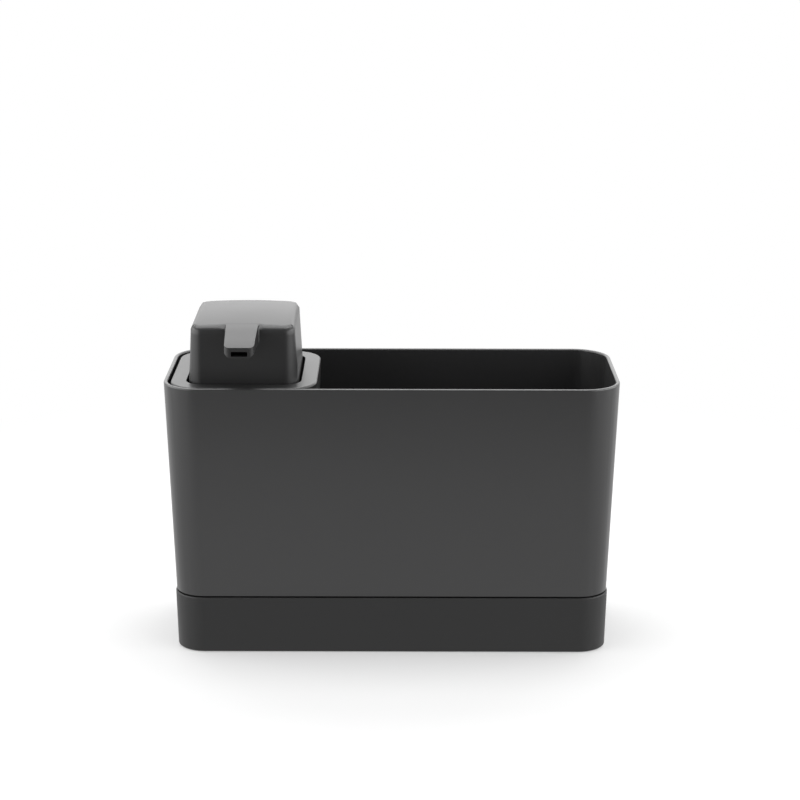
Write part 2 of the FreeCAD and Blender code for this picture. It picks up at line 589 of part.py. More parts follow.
def cut_crown(body, name):
    """Trims a body to the head's top: falling gently to the front, bending down along the spout,
    and crowned from side to side about a long axis under the head."""
    sketch = new_sketch(body, "YZ_Plane", f"{name}_section")
    back, turn = f"({HEAD_DEPTH} / 2)", f"(head_bend_inset - {HEAD_FRONT_Y})"
    beyond = f"(-{HEAD_FRONT_Y} - spout_reach - spout_overlap)"
    clear = f"({HEAD_BACK} + 2 * head_roof)"
    y_back, y_turn, y_beyond = number(back), number(turn), number(beyond)
    z_back, z_turn, z_clear = number(HEAD_BACK), number(HEAD_BEND), number(clear)
    slope = math.atan((z_back - z_turn) / (y_back - y_turn))
    bend = number("spout_top_radius")
    bend_y, bend_z = y_turn + bend * math.sin(slope), z_turn - bend * math.cos(slope)
    end_slope = math.asin((bend_y - y_beyond) / bend)
    tip = (y_beyond, bend_z + bend * math.cos(end_slope))
    sketch.addGeometry([
        line((y_back, z_back), (y_turn, z_turn)),
        arc(bend_y, bend_z, bend, 90 + math.degrees(slope), 90 + math.degrees(end_slope)),
        line(tip, (y_beyond, z_clear)),
        line((y_beyond, z_clear), (y_back, z_clear)),
        line((y_back, z_clear), (y_back, z_back)),
    ], False)
    sketch.addConstraint(Sketcher.Constraint("Tangent", 0, 2, 1, 1))
    for edge in (1, 2, 3, 4):
        sketch.addConstraint(Sketcher.Constraint("Coincident", edge, 2, (edge + 1) % 5, 1))
    sketch.addConstraint(Sketcher.Constraint("Vertical", 2))
    place_point(sketch, 0, 1, back, HEAD_BACK)
    place_point(sketch, 0, 2, turn, HEAD_BEND)
    place_point(sketch, 2, 2, beyond, clear)
    place_point(sketch, 3, 2, back, clear)
    measure(sketch, "bend", Sketcher.Constraint("Radius", 1, bend), "spout_top_radius")
    axis_height = f"({HEAD_BACK} - head_crown_radius)"
    z_axis = number(axis_height)
    axis = sketch.addGeometry(line((y_beyond, z_axis), (y_back, z_axis)), True)
    place_point(sketch, axis, 1, beyond, axis_height)
    place_point(sketch, axis, 2, back, axis_height)
    crown = body.newObject("PartDesign::Groove", name)
    crown.Profile = sketch
    crown.ReferenceAxis = (sketch, ["Axis0"])
    crown.Midplane = True
    bind(crown, "Angle", f"4 * asin({HEAD_WIDTH} / head_crown_radius / 2)")
    return finish_feature(body, crown, adds=False)


def spout_plan(sketch):
    """Adds the spout's outline from above: narrowing to a tip with rounded corners."""
    root_y, tip_y = f"(spout_overlap - {HEAD_FRONT_Y})", f"(-{HEAD_FRONT_Y} - spout_reach)"
    centre_x, centre_y = "(spout_tip_width / 2 - spout_tip_round)", f"({tip_y} + spout_tip_round)"
    half, y_root, y_tip = number("spout_width / 2"), number(root_y), number(tip_y)
    radius, x_round, y_round = number("spout_tip_round"), number(centre_x), number(centre_y)
    sketch.addGeometry([
        line((half, y_root), (-half, y_root)),
        line((-half, y_root), (-x_round - radius, y_round)),
        arc(-x_round, y_round, radius, 180, 270),
        line((-x_round, y_tip), (x_round, y_tip)),
        arc(x_round, y_round, radius, 270, 360),
        line((x_round + radius, y_round), (half, y_root)),
    ], False)
    for edge in (0, 5):
        sketch.addConstraint(Sketcher.Constraint("Coincident", edge, 2, (edge + 1) % 6, 1))
    for edge in (1, 2, 3, 4):
        sketch.addConstraint(Sketcher.Constraint("Tangent", edge, 2, edge + 1, 1))
    place_point(sketch, 0, 1, "spout_width / 2", root_y)
    place_point(sketch, 0, 2, "-spout_width / 2", root_y)
    place_point(sketch, 2, 3, f"-{centre_x}", centre_y)
    place_point(sketch, 4, 3, centre_x, centre_y)
    for edge in (2, 4):
        measure(sketch, "corner", Sketcher.Constraint("Radius", edge, radius), "spout_tip_round")


def hull_side(sketch, way):
    """Adds what is cut from one side of the spout to leave its curved hull."""
    side, flat = f"({way} * spout_width / 2)", f"({way} * spout_floor_width / 2)"
    bilge, below = f"({SPOUT_UNDER} + spout_hull)", f"({SPOUT_UNDER} - spout_hull)"
    beyond = f"({side} + {way} * spout_hull)"
    x_side, x_flat, x_beyond = number(side), number(flat), number(beyond)
    z_bilge, z_under, z_below = number(bilge), number(SPOUT_UNDER), number(below)
    inset, hull = abs(x_side - x_flat), z_bilge - z_under
    radius = (inset ** 2 + hull ** 2) / (2 * inset)
    sweep = math.degrees(math.asin(hull / radius))
    start = 180 if way < 0 else -sweep
    first = sketch.GeometryCount
    sketch.addGeometry([
        arc(x_side - way * radius, z_bilge, radius, start, start + sweep),
        line((x_flat, z_under), (x_flat, z_below)),
        line((x_flat, z_below), (x_beyond, z_below)),
        line((x_beyond, z_below), (x_beyond, z_bilge)),
        line((x_beyond, z_bilge), (x_side, z_bilge)),
    ], False)
    upper, lower = (1, 2) if way < 0 else (2, 1)
    sketch.addConstraint(Sketcher.Constraint("Coincident", first, lower, first + 1, 1))
    for edge in (1, 2, 3):
        sketch.addConstraint(Sketcher.Constraint("Coincident", first + edge, 2, first + edge + 1, 1))
    sketch.addConstraint(Sketcher.Constraint("Coincident", first + 4, 2, first, upper))
    sketch.addConstraint(Sketcher.Constraint("Horizontal", first, 3, first, upper))
    place_point(sketch, first + 1, 1, flat, SPOUT_UNDER)
    place_point(sketch, first + 1, 2, flat, below)
    place_point(sketch, first + 2, 2, beyond, below)
    place_point(sketch, first + 3, 2, beyond, bilge)
    place_point(sketch, first + 4, 2, side, bilge)


def make_spout_form():
    """The spout: its plan raised, its lower sides curved like a hull, its top bent down."""
    spout = new_body("spout_form")
    plan = level_sketch(spout, "spout_outline", SPOUT_UNDER)
    spout_plan(plan)
    pad(spout, plan, "spout_block", f"{HEAD_BACK} + head_roof - {SPOUT_UNDER}")
    hull = new_sketch(spout, "XZ_Plane", "spout_hull_section")
    for way in (-1, 1):
        hull_side(hull, way)
    pocket(spout, hull, "spout_hull_sides", upward=True)
    cut_crown(spout, "spout_crown")
    return spout


def make_pump_head():
    """The push head: a hollow square-cut cap with its spout and the spout's mouth."""
    spout = make_spout_form()
    head = new_body("pump_head", DISPENSER_X)
    outline = level_sketch(head, "head_outline", HEAD_FOOT)
    rounded_rectangle(outline, *head_outline("0"))
    pad(head, outline, "head_block", f"{HEAD_BACK} + head_roof - {HEAD_FOOT}", "-head_draft")
    cut_crown(head, "head_crown")
    ceiling = number(HEAD_CEILING)
    bevel_edges(head, "head_edge", "head_bevel", lambda box: box.ZMin > ceiling)
    join = head.newObject("PartDesign::Boolean", "spout_join")
    join.Type = "Fuse"
    join.setObjects([spout])
    finish_feature(head, join, adds=True)
    inside = level_sketch(head, "head_inside", HEAD_FOOT)
    rounded_rectangle(inside, *head_outline(HEAD_DRAW_IN))
    pocket(head, inside, "head_hollow", f"{HEAD_CEILING} - {HEAD_FOOT}", upward=True)
    mouth = new_sketch(head, "XZ_Plane", "mouth_outline")
    rounded_rectangle(mouth, "nozzle_width", "nozzle_height", "nozzle_corner", "0", NOZZLE_MIDDLE)
    pocket(head, mouth, "mouth", upward=True)
    return head


def channel_section(sketch, wall):
    """Adds the section of the channel behind the spout's mouth, or of its wall."""
    half, rise = f"(nozzle_width / 2 + {wall})", f"(nozzle_height / 2 + {wall})"
    rectangle(sketch, f"-{half}", half, f"{NOZZLE_MIDDLE} - {rise}", f"{NOZZLE_MIDDLE} + {rise}")


def make_flow_channel():
    """The duct inside the head: a socket on the stem and a flat channel to the spout's mouth."""
    channel = new_body("flow_channel", DISPENSER_X)
    boss = level_sketch(channel, "socket_outline", SOCKET_FOOT)
    circle(boss, "stem_diameter + 2 * socket_wall")
    pad(channel, boss, "socket", f"{HEAD_CEILING} - {SOCKET_FOOT}")
    duct = new_sketch(channel, "XZ_Plane", "duct_outline")
    channel_section(duct, "duct_wall")
    pad(channel, duct, "duct", f"{HEAD_DEPTH} / 2 - {HEAD_DRAW_IN} - duct_gap")
    bore = level_sketch(channel, "socket_bore_outline", SOCKET_FOOT)
    circle(bore, "stem_diameter + 2 * fit_gap")
    pocket(channel, bore, "socket_bore", f"{STEM_TOP} - {SOCKET_FOOT}", upward=True)
    port = level_sketch(channel, "port_outline", STEM_TOP)
    circle(port, "port_diameter")
    pocket(channel, port, "port", f"{NOZZLE_MIDDLE} - {STEM_TOP}", upward=True)
    mouth = new_sketch(channel, "XZ_Plane", "channel_outline")
    channel_section(mouth, "0")
    pocket(channel, mouth, "channel", upward=True)
    return channel


def make_pump_housing():
    """The pump's housing: flanged barrel, caged ball seat and the dip tube's socket."""
    nose = f"({TUBE} + housing_wall)"
    return turned("pump_housing", (
        (BORE, FLANGE_TOP), (FLANGE, FLANGE_TOP), (FLANGE, FLANGE_UNDER), (BARREL, FLANGE_UNDER),
        (BARREL, f"{CAGE_TOP} - housing_wall"), (nose, f"{CAGE_TOP} - housing_wall"), (nose, HOUSING_FOOT),
        (f"{TUBE} + fit_gap", HOUSING_FOOT), (f"{TUBE} + fit_gap", TUBE_TOP), (PORT, TUBE_TOP),
        (PORT, INLET_SEAT), (CAGE, INLET_SEAT), (CAGE, CAGE_TOP), (BORE, CAGE_TOP),
    ), DISPENSER_X)


def make_pump_stem():
    """The hollow stem, with the outlet valve's seat and cage in its top."""
    return turned("pump_stem", (
        ("stem_bore / 2", STEM_FOOT), (STEM, STEM_FOOT), (STEM, STEM_TOP), (CAGE, STEM_TOP),
        (CAGE, OUTLET_SEAT), (PORT, OUTLET_SEAT), (PORT, f"{OUTLET_SEAT} - port_land"),
        ("stem_bore / 2", f"{OUTLET_SEAT} - port_land"),
    ), DISPENSER_X)


def make_piston():
    """The piston: two lips in the barrel and a socket on the stem's foot."""
    lip = f"({BORE} - piston_gap)"
    waist = f"({lip} - piston_waist)"
    return turned("piston", (
        ("stem_bore / 2", PISTON_FOOT), (lip, PISTON_FOOT), (lip, f"{PISTON_FOOT} + piston_lip"),
        (waist, f"{PISTON_FOOT} + piston_lip"), (waist, f"{PISTON_TOP} - piston_lip"),
        (lip, f"{PISTON_TOP} - piston_lip"), (lip, PISTON_TOP), (f"{STEM} + fit_gap", PISTON_TOP),
        (f"{STEM} + fit_gap", STEM_FOOT), ("stem_bore / 2", STEM_FOOT),
    ), DISPENSER_X)


def make_stem_guide():
    """The flanged bush in the housing's top, whose sleeve guides the stem and stops the piston."""
    hole, sleeve, rim = f"({STEM} + stem_gap)", f"({BORE} - fit_gap)", f"({BORE} + guide_rim)"
    wiper, wiper_floor = f"({STEM} + wiper_width)", f"({GUIDE_TOP} - wiper_height)"
    return turned("stem_guide", (
        (hole, SLEEVE_FOOT), (sleeve, SLEEVE_FOOT), (sleeve, FLANGE_TOP), (rim, FLANGE_TOP),
        (rim, GUIDE_TOP), (wiper, GUIDE_TOP), (wiper, wiper_floor), (hole, wiper_floor),
    ), DISPENSER_X)


def make_ring(label, inner, outer, foot, top):
    """A plain ring about the pump's axis."""
    return turned(label, ((inner, foot), (outer, foot), (outer, top), (inner, top)), DISPENSER_X)


def make_spring_seat():
    """The washer that the spring stands on, with a collar inside the spring."""
    rim = f"({BORE} - fit_gap)"
    collar = "(spring_diameter / 2 - spring_wire / 2 - fit_gap)"
    return turned("spring_seat", (
        (PORT, CAGE_TOP), (rim, CAGE_TOP), (rim, SPRING_FOOT), (collar, SPRING_FOOT),
        (collar, f"{SPRING_FOOT} + seat_collar"), (PORT, f"{SPRING_FOOT} + seat_collar"),
    ), DISPENSER_X)


def make_pump_spring():
    """The return spring between its seat and the piston: the sleeve that its coils fill."""
    inner, outer = "(spring_diameter - spring_wire) / 2", "(spring_diameter + spring_wire) / 2"
    return make_ring("pump_spring", inner, outer, SPRING_FOOT, PISTON_FOOT)


def make_ball(label, seat):
    """A valve ball on its seat."""
    ball = doc.addObject("Part::Sphere", label)
    ball.Label = label
    bind(ball, "Radius", "ball_diameter / 2")
    bind(ball, "Placement.Base.x", DISPENSER_X)
    bind(ball, "Placement.Base.z", f"{seat} + {BALL_RISE}")
    return ball


def make_dip_tube():
    """The suction tube, notched at its foot so that the bottle's floor can't close it."""
    tube = make_ring("dip_tube", f"{TUBE} - tube_wall", TUBE, TUBE_FOOT, TUBE_TOP)
    notch = new_sketch(tube, "XZ_Plane", "tube_notch_outline")
    polygon(notch, ((f"-{TUBE}", TUBE_FOOT), (TUBE, TUBE_FOOT), ("0", f"{TUBE_FOOT} + tube_notch")))
    cut = tube.newObject("PartDesign::Pocket", "tube_notch_cut")
    cut.Profile = notch
    cut.SideType = "Symmetric"
    bind(cut, "Length", "2 * tube_diameter")
    finish_feature(tube, cut, adds=False)
    return tube


def make_retaining_nut():
    """The hexagonal nut that clamps the housing under the cover's well."""
    nut = new_body("retaining_nut", DISPENSER_X)
    outline = level_sketch(nut, "nut_outline", WELL_UNDER)
    corner = f"(({BARREL} + nut_wall) / cos(30))"
    turns = [60 * step for step in range(6)]
    polygon(outline, [(f"{corner} * cos({turn})", f"{corner} * sin({turn})") for turn in turns])
    circle(outline, f"2 * ({BARREL} + fit_gap)")
    pad(nut, outline, "nut_block", "nut_height", downward=True)
    return nut


def build():
    """Makes every piece of the caddy."""
    wiper_floor = f"{GUIDE_TOP} - wiper_height"
    return [
        make_base_tray(),
        make_foot_ring(),
        make_container(),
        make_bottle(),
        make_bottle_cover(),
        make_cover_seal(),
        make_pump_head(),
        make_flow_channel(),
        make_pump_stem(),
        make_piston(),
        make_stem_guide(),
        make_ring("stem_wiper", f"{STEM} + stem_gap", f"{STEM} + wiper_width", wiper_floor, GUIDE_TOP),
        make_pump_housing(),
        make_ring("housing_gasket", f"{BARREL} + housing_fit", FLANGE, WELL_FLOOR, FLANGE_UNDER),
        make_retaining_nut(),
        make_spring_seat(),
        make_pump_spring(),
        make_ball("inlet_ball", INLET_SEAT),
        make_ball("outlet_ball", OUTLET_SEAT),
        make_dip_tube(),
    ]


def write(pieces):
    """Writes each piece to its own file once the whole document is sound."""
    doc.recompute()
    for item in doc.Objects:
        if {"Invalid", "Error"} & set(item.State):
            raise RuntimeError(f"{item.Label} failed: {item.State}")
    for piece in pieces:
        if piece.Shape.isNull() or not piece.Shape.isValid() or len(piece.Shape.Solids) != 1:
            raise RuntimeError(f"{piece.Label} isn't one sound solid")
    os.makedirs("parts", exist_ok=True)
    for piece in pieces:
        piece.Shape.exportStep(f"parts/{piece.Label}.step")
        box = piece.Shape.BoundBox
        print(f"{piece.Label}: {box.XLength:.2f} x {box.YLength:.2f} x {box.ZLength:.2f}, "
              f"from z {box.ZMin:.2f}, {piece.Shape.Volume / 1000:.2f} cm3")


write(build())
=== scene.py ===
"""Dresses the soap pump caddy: softened shells, a coiled spring, satin plastics and a white studio."""
import json
import math

import bmesh
import bpy
from bpy.props import FloatProperty, FloatVectorProperty, IntProperty, PointerProperty
from mathutils import Matrix, Vector


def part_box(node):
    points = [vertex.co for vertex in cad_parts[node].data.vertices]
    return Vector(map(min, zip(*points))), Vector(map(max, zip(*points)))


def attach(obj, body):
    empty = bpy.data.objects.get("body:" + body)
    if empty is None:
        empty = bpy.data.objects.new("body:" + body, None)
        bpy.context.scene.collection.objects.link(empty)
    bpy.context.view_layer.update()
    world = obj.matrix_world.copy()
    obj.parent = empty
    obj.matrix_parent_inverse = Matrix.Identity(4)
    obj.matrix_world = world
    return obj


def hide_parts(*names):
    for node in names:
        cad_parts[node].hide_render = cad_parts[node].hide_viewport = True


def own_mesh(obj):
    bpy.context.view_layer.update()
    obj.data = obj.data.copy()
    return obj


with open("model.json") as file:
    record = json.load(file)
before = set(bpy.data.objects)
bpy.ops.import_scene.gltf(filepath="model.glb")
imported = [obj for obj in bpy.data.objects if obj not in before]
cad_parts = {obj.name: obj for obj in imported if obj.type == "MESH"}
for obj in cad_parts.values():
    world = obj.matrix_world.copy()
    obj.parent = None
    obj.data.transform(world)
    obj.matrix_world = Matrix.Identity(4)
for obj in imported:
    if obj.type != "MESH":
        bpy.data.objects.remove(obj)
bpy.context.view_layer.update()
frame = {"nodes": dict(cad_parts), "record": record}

bl_info = {
    "name": "Soap pump caddy",
    "version": (1, 0, 0),
    "blender": (4, 5, 0),
    "location": "3D View > Sidebar > Caddy",
    "description": "Dresses a packed soap pump caddy and sets it in a white studio",
    "category": "Object",
}

MM = 0.001
MERGE_DISTANCE = 0.002 * MM
FLAT_ANGLE = math.radians(0.4)
SHARP_ANGLE = math.radians(32)
ROLLED_ANGLE = math.radians(58)
CUT_DISTANCE = 0.01 * MM
LINE_DISTANCE = 0.05 * MM  # points this near to a cut lie on it
EDGE_BAND = MM  # edges this near to a rim or foot belong to it
EDGE_LAYER = "edge_wear"
CROWN_LAYER = "rolled_crown"

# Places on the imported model
PUMP_LOW, PUMP_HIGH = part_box("pump_housing")
PUMP_X = (PUMP_LOW[0] + PUMP_HIGH[0]) / 2
SPRING_LOW, SPRING_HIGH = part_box("pump_spring")
NUT_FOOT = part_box("retaining_nut")[0][2]
RIM_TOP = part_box("container")[1][2]
TRAY_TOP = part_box("base_tray")[1][2]
COVER_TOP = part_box("bottle_cover")[1][2]
HEAD_LOW, HEAD_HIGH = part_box("pump_head")
HEAD_FOOT, HEAD_TOP = HEAD_LOW[2], HEAD_HIGH[2]
HEAD_FRONT = -HEAD_HIGH[1] - 0.5 * MM  # just in front of the head's own front wall
SPOUT_BACK = 0.85 * HEAD_LOW[1] / 2  # the spout's edges lie in front of this

# Heights over which the head's top, the bevel along its edges and the rest of its crown lie
TOP_LOW, BEVEL_LOW, CROWN_LOW = HEAD_TOP - 2 * MM, HEAD_TOP - 4 * MM, HEAD_TOP - 6 * MM

# Least and most rise of the normals of the head's outer faces, by which they are told apart
UPRIGHT, SLOPED, LEVEL, OUTER = (-0.2, 0.2), (0.4, 0.93), (0.97, 2.0), (-0.2, 2.0)

# Noise patches per metre in the materials
ROUGHNESS_PATCHES, TONE_PATCHES, SCUFFS = 34.0, 22.0, 260.0

WALL_LEAN = 0.05  # how far the head's walls lean in for each metre of height
WIND_STEPS, WIND_SIDES = 24, 10  # steps in a turn of a wound form, and sides of its section

# Each softbox: its name, place, size, the point that it faces and the studio's value for its power
SOFTBOXES = (
    ("Back softbox", (0.0, 1.35, 0.68), (2.6, 0.9), (0.0, 0.0, 0.15), "back_light"),
    ("Key softbox", (0.0, 0.62, 0.98), (1.6, 0.4), (0.0, 0.0, 0.1), "key_light"),
    ("Top softbox", (0.0, 0.05, 1.25), (1.6, 0.6), (0.0, 0.0, 0.1), "top_light"),
    ("Left softbox", (-1.0, -0.25, 0.4), (1.9, 0.8), (0.0, 0.0, 0.1), "side_light"),
    ("Right softbox", (1.0, -0.25, 0.4), (1.9, 0.8), (0.0, 0.0, 0.1), "side_light"),
)


class CaddySizes(bpy.types.PropertyGroup):
    """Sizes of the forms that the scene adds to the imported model."""
    rim_round: FloatProperty(
        name="Rim round", description="Softening of the container's rim", default=0.3 * MM, unit="LENGTH")
    cover_plate: FloatProperty(
        name="Cover plate", description="Depth of the cover in which only its top edges are softened",
        default=3.2 * MM, unit="LENGTH")
    head_bulge: FloatProperty(
        name="Head bulge", description="Rise of the push head's top from its front and back to its middle",
        default=0.9 * MM, unit="LENGTH")
    crown_strip: FloatProperty(
        name="Crown strip", description="Width of the strips cut along the edges of the push head's top",
        default=1.9 * MM, unit="LENGTH")
    crown_round: FloatProperty(
        name="Crown round", description="Radius of the roll over the push head's top edges",
        default=2.7 * MM, unit="LENGTH")
    crown_bevel: FloatProperty(
        name="Crown bevel", description="Depth under the top's edges over which the head's bulge fades out",
        default=2.3 * MM, unit="LENGTH")
    crown_push: FloatProperty(
        name="Crown push", description="How far the bevel's middle is pushed out to the round",
        default=0.4 * MM, unit="LENGTH")
    crown_corner: FloatProperty(
        name="Crown corner", description="Plan radius of the push head's corners at its top",
        default=5.0 * MM, unit="LENGTH")
    crown_depth: FloatProperty(
        name="Crown depth", description="How far under the push head's top its walls are cut for the roll",
        default=4.75 * MM, unit="LENGTH")
    crown_tilt: FloatProperty(
        name="Crown tilt", description="Rise of that cut towards the back, for each metre of depth",
        default=0.031)
    crown_cuts: IntProperty(
        name="Crown cuts", description="Cuts across the push head's top on each side of its middle",
        default=2, min=1)
    spout_round: FloatProperty(
        name="Spout round", description="Softening of the spout's edges", default=0.4 * MM, unit="LENGTH")
    spout_cove: FloatProperty(
        name="Spout cove", description="Hollow round where the spout leaves the head", default=0.8 * MM,
        unit="LENGTH")
    spout_half: FloatProperty(
        name="Spout half width", description="Half of the width that belongs to the spout at its root",
        default=7.4 * MM, unit="LENGTH")
    mouth_half: FloatProperty(
        name="Mouth half width", description="Half of the width that belongs to the spout's mouth",
        default=3.895 * MM, unit="LENGTH")
    moulded_round: FloatProperty(
        name="Moulded round", description="Softening of the other edges of the shells", default=0.25 * MM,
        unit="LENGTH")
    pump_round: FloatProperty(
        name="Pump round", description="Softening of the pump's small parts and of other fine edges",
        default=0.12 * MM, unit="LENGTH")
    spring_wire: FloatProperty(
        name="Spring wire", description="Thickness of the return spring's wire",
        default=1.1 * MM, unit="LENGTH")
    spring_turns: IntProperty(
        name="Spring turns", description="Open turns between the spring's two closed end turns",
        default=7, min=2)
    barrel_radius: FloatProperty(
        name="Barrel radius", description="Outside radius of the pump's barrel",
        default=7.9 * MM, unit="LENGTH")
    thread_pitch: FloatProperty(
        name="Thread pitch", description="Rise of the barrel's thread in one turn",
        default=2.0 * MM, unit="LENGTH")
    thread_turns: IntProperty(
        name="Thread turns", description="Turns of the barrel's thread that show under the nut",
        default=4, min=1)


class CaddyColours(bpy.types.PropertyGroup):
    """Colours of the caddy's materials."""
    container: FloatVectorProperty(
        name="Container", description="Satin plastic of the container", subtype="COLOR",
        default=(0.018, 0.018, 0.0184), min=0.0, max=1.0)
    tray: FloatVectorProperty(
        name="Tray", description="Matte plastic of the drip tray", subtype="COLOR",
        default=(0.009, 0.009, 0.0092), min=0.0, max=1.0)
    dispenser: FloatVectorProperty(
        name="Dispenser", description="Satin plastic of the bottle, its cover and the push head",
        subtype="COLOR", default=(0.014, 0.014, 0.0143), min=0.0, max=1.0)
    pump: FloatVectorProperty(
        name="Pump", description="Natural milky plastic of the pump", subtype="COLOR",
        default=(0.62, 0.62, 0.59), min=0.0, max=1.0)
    rubber: FloatVectorProperty(
        name="Rubber", description="Rubber of the foot ring and the seals", subtype="COLOR",
        default=(0.03, 0.03, 0.031), min=0.0, max=1.0)
    steel: FloatVectorProperty(
        name="Steel", description="Steel of the spring and the valve balls", subtype="COLOR",
        default=(0.56, 0.56, 0.57), min=0.0, max=1.0)


class CaddyStudio(bpy.types.PropertyGroup):
    """Camera and light of the studio."""
    camera_side: FloatProperty(
        name="Camera side", description="How far to the right of the caddy's middle the camera stands",
        default=0.0036, unit="LENGTH")
    camera_distance: FloatProperty(
        name="Camera distance", description="How far in front of the caddy the camera stands",
        default=0.8839, unit="LENGTH")
    camera_height: FloatProperty(
        name="Camera height", description="Height of the camera above the table",
        default=0.3489, unit="LENGTH")
    camera_tilt: FloatProperty(
        name="Camera tilt", description="How far the camera looks down",
        default=math.radians(15.25), subtype="ANGLE")
    camera_roll: FloatProperty(
        name="Camera roll", description="How far the camera leans to its left",
        default=math.radians(0.13), subtype="ANGLE")
    camera_lens: FloatProperty(
        name="Lens", description="Focal length of the camera in millimetres", default=91.49)
    back_light: FloatProperty(
        name="Back light", description="Power of the softbox behind the caddy, in watts", default=9.0)
    key_light: FloatProperty(
        name="Key light", description="Power of the softbox high behind the caddy, in watts", default=7.0)
    top_light: FloatProperty(
        name="Top light", description="Power of the softbox over the caddy, in watts", default=11.0)
    side_light: FloatProperty(
        name="Side light", description="Power of the softbox at each side of the caddy, in watts",
        default=13.0)
    room_light: FloatProperty(
        name="Room light", description="Strength of the even light from all sides", default=0.35)
    room_front: FloatProperty(
        name="Front of the room", description="How bright the room behind the camera is in reflections",
        default=0.3, min=0.0, max=1.0)
    room_turn: FloatProperty(
        name="Turn of the room", description="Share of the way to the front at which the room is darkest",
        default=0.7, min=0.0, max=1.0)
    table_front: FloatProperty(
        name="Front of the table", description="How far the table reaches in front of the caddy's middle",
        default=0.34, unit="LENGTH")
    floor_tone: FloatProperty(
        name="Floor tone", description="How pale the floor is", default=0.5, min=0.0, max=1.0)
    floor_size: FloatProperty(
        name="Floor size", description="Half of the floor's length and depth", default=3.0, unit="LENGTH")
    fade_start: FloatProperty(
        name="Fade start", description="How far from the caddy's middle the floor starts to turn white",
        default=0.16, unit="LENGTH")
    fade_end: FloatProperty(
        name="Fade end", description="How far from the caddy's middle the floor is all white",
        default=0.42, unit="LENGTH")
    floor_lift: FloatProperty(
        name="Floor lift", description="Light that the floor adds to its own shading near the caddy",
        default=0.28, min=0.0, max=1.0)


def merged_copy(node):
    """A node's mesh with its loose triangles merged and its flat faces joined."""
    mesh = bmesh.new()
    mesh.from_mesh(frame["nodes"][node].data)
    bmesh.ops.remove_doubles(mesh, verts=mesh.verts, dist=MERGE_DISTANCE)
    bmesh.ops.dissolve_limit(mesh, angle_limit=FLAT_ANGLE, verts=mesh.verts, edges=mesh.edges)
    return mesh


def sharp_edges(mesh, chosen=None):
    """The sharp edges of a mesh whose two ends pass a test."""
    joined = [edge for edge in mesh.edges if len(edge.link_faces) == 2]
    sharp = [edge for edge in joined if edge.calc_face_angle() > SHARP_ANGLE]
    return [edge for edge in sharp if chosen is None or chosen(edge, *(vert.co for vert in edge.verts))]


def between(low, high):
    """A test for edges that lie between two heights."""
    return lambda edge, start, end: low <= min(start.z, end.z) and max(start.z, end.z) <= high


def soften(mesh, edges, width, segments=3):
    """Rounds edges and marks the new faces as places that wear."""
    layer = mesh.faces.layers.float.get(EDGE_LAYER) or mesh.faces.layers.float.new(EDGE_LAYER)
    edges = [edge for edge in edges if edge.is_valid]
    made = bmesh.ops.bevel(mesh, geom=edges, offset=width, offset_type="OFFSET", affect="EDGES",
                           segments=segments, profile=0.5, material=-1, clamp_overlap=True)
    for face in made["faces"]:
        face[layer] = 1.0


def add_piece(name, mesh, body, slot, material, *nodes, smooth_to=SHARP_ANGLE):
    """Makes a finished piece from a mesh: smooth, on its body, in place of its nodes."""
    data = bpy.data.meshes.new(name)
    mesh.to_mesh(data)
    mesh.free()
    data.materials.append(material)
    data.shade_smooth()
    data.set_sharp_from_angle(angle=smooth_to)
    piece = bpy.data.objects.new(name, data)
    bpy.context.scene.collection.objects.link(piece)
    normals = piece.modifiers.new("Even shading", "WEIGHTED_NORMAL")
    normals.keep_sharp = True
    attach(piece, body)
    if nodes:
        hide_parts(*nodes)
    return piece


def body_of_node(node):
    """The body that carries a node."""
    bodies = frame["record"]["behaviour"]["bodies"]
    return next(body for body, nodes in bodies.items() if node in nodes)


def slot_of_node(node):
    """The material slot of a node."""
    return next(part["material_slot"] for part in frame["record"]["subparts"] if part["node"] == node)


def softened_node(node, name, material, *rounds, **finish):
    """Replaces a node by a copy with rounded edges, each round given as (test, width, segments)."""
    return softened_mesh(merged_copy(node), node, name, material, *rounds, **finish)


def softened_mesh(mesh, node, name, material, *rounds, **finish):
    """Rounds a mesh's edges and sets it in place of a node."""
    for chosen, width, segments in rounds:
        soften(mesh, sharp_edges(mesh, chosen), width, segments)
    return add_piece(name, mesh, body_of_node(node), slot_of_node(node), material, node, **finish)


def new_group(name, inputs, outputs):
    """A shader node group with named sockets, each given as (kind, name, default)."""
    group = bpy.data.node_groups.new(name, "ShaderNodeTree")
    for way, sockets in (("INPUT", inputs), ("OUTPUT", outputs)):
        for kind, socket_name, default in sockets:
            socket = group.interface.new_socket(
                name=socket_name, in_out=way, socket_type=f"NodeSocket{kind}")
            if default is not None:
                socket.default_value = default
    return group, group.nodes.new("NodeGroupInput"), group.nodes.new("NodeGroupOutput")


def add_node(tree, kind, links=(), **values):
    """Adds a node, sets its values and links its inputs, each given as (input, output socket)."""
    node = tree.nodes.new(kind)
    for key, value in values.items():
        setattr(node, key, value)
    for socket, source in links:
        if hasattr(source, "is_output"):
            tree.links.new(source, node.inputs[socket])
        else:
            node.inputs[socket].default_value = source
    return node


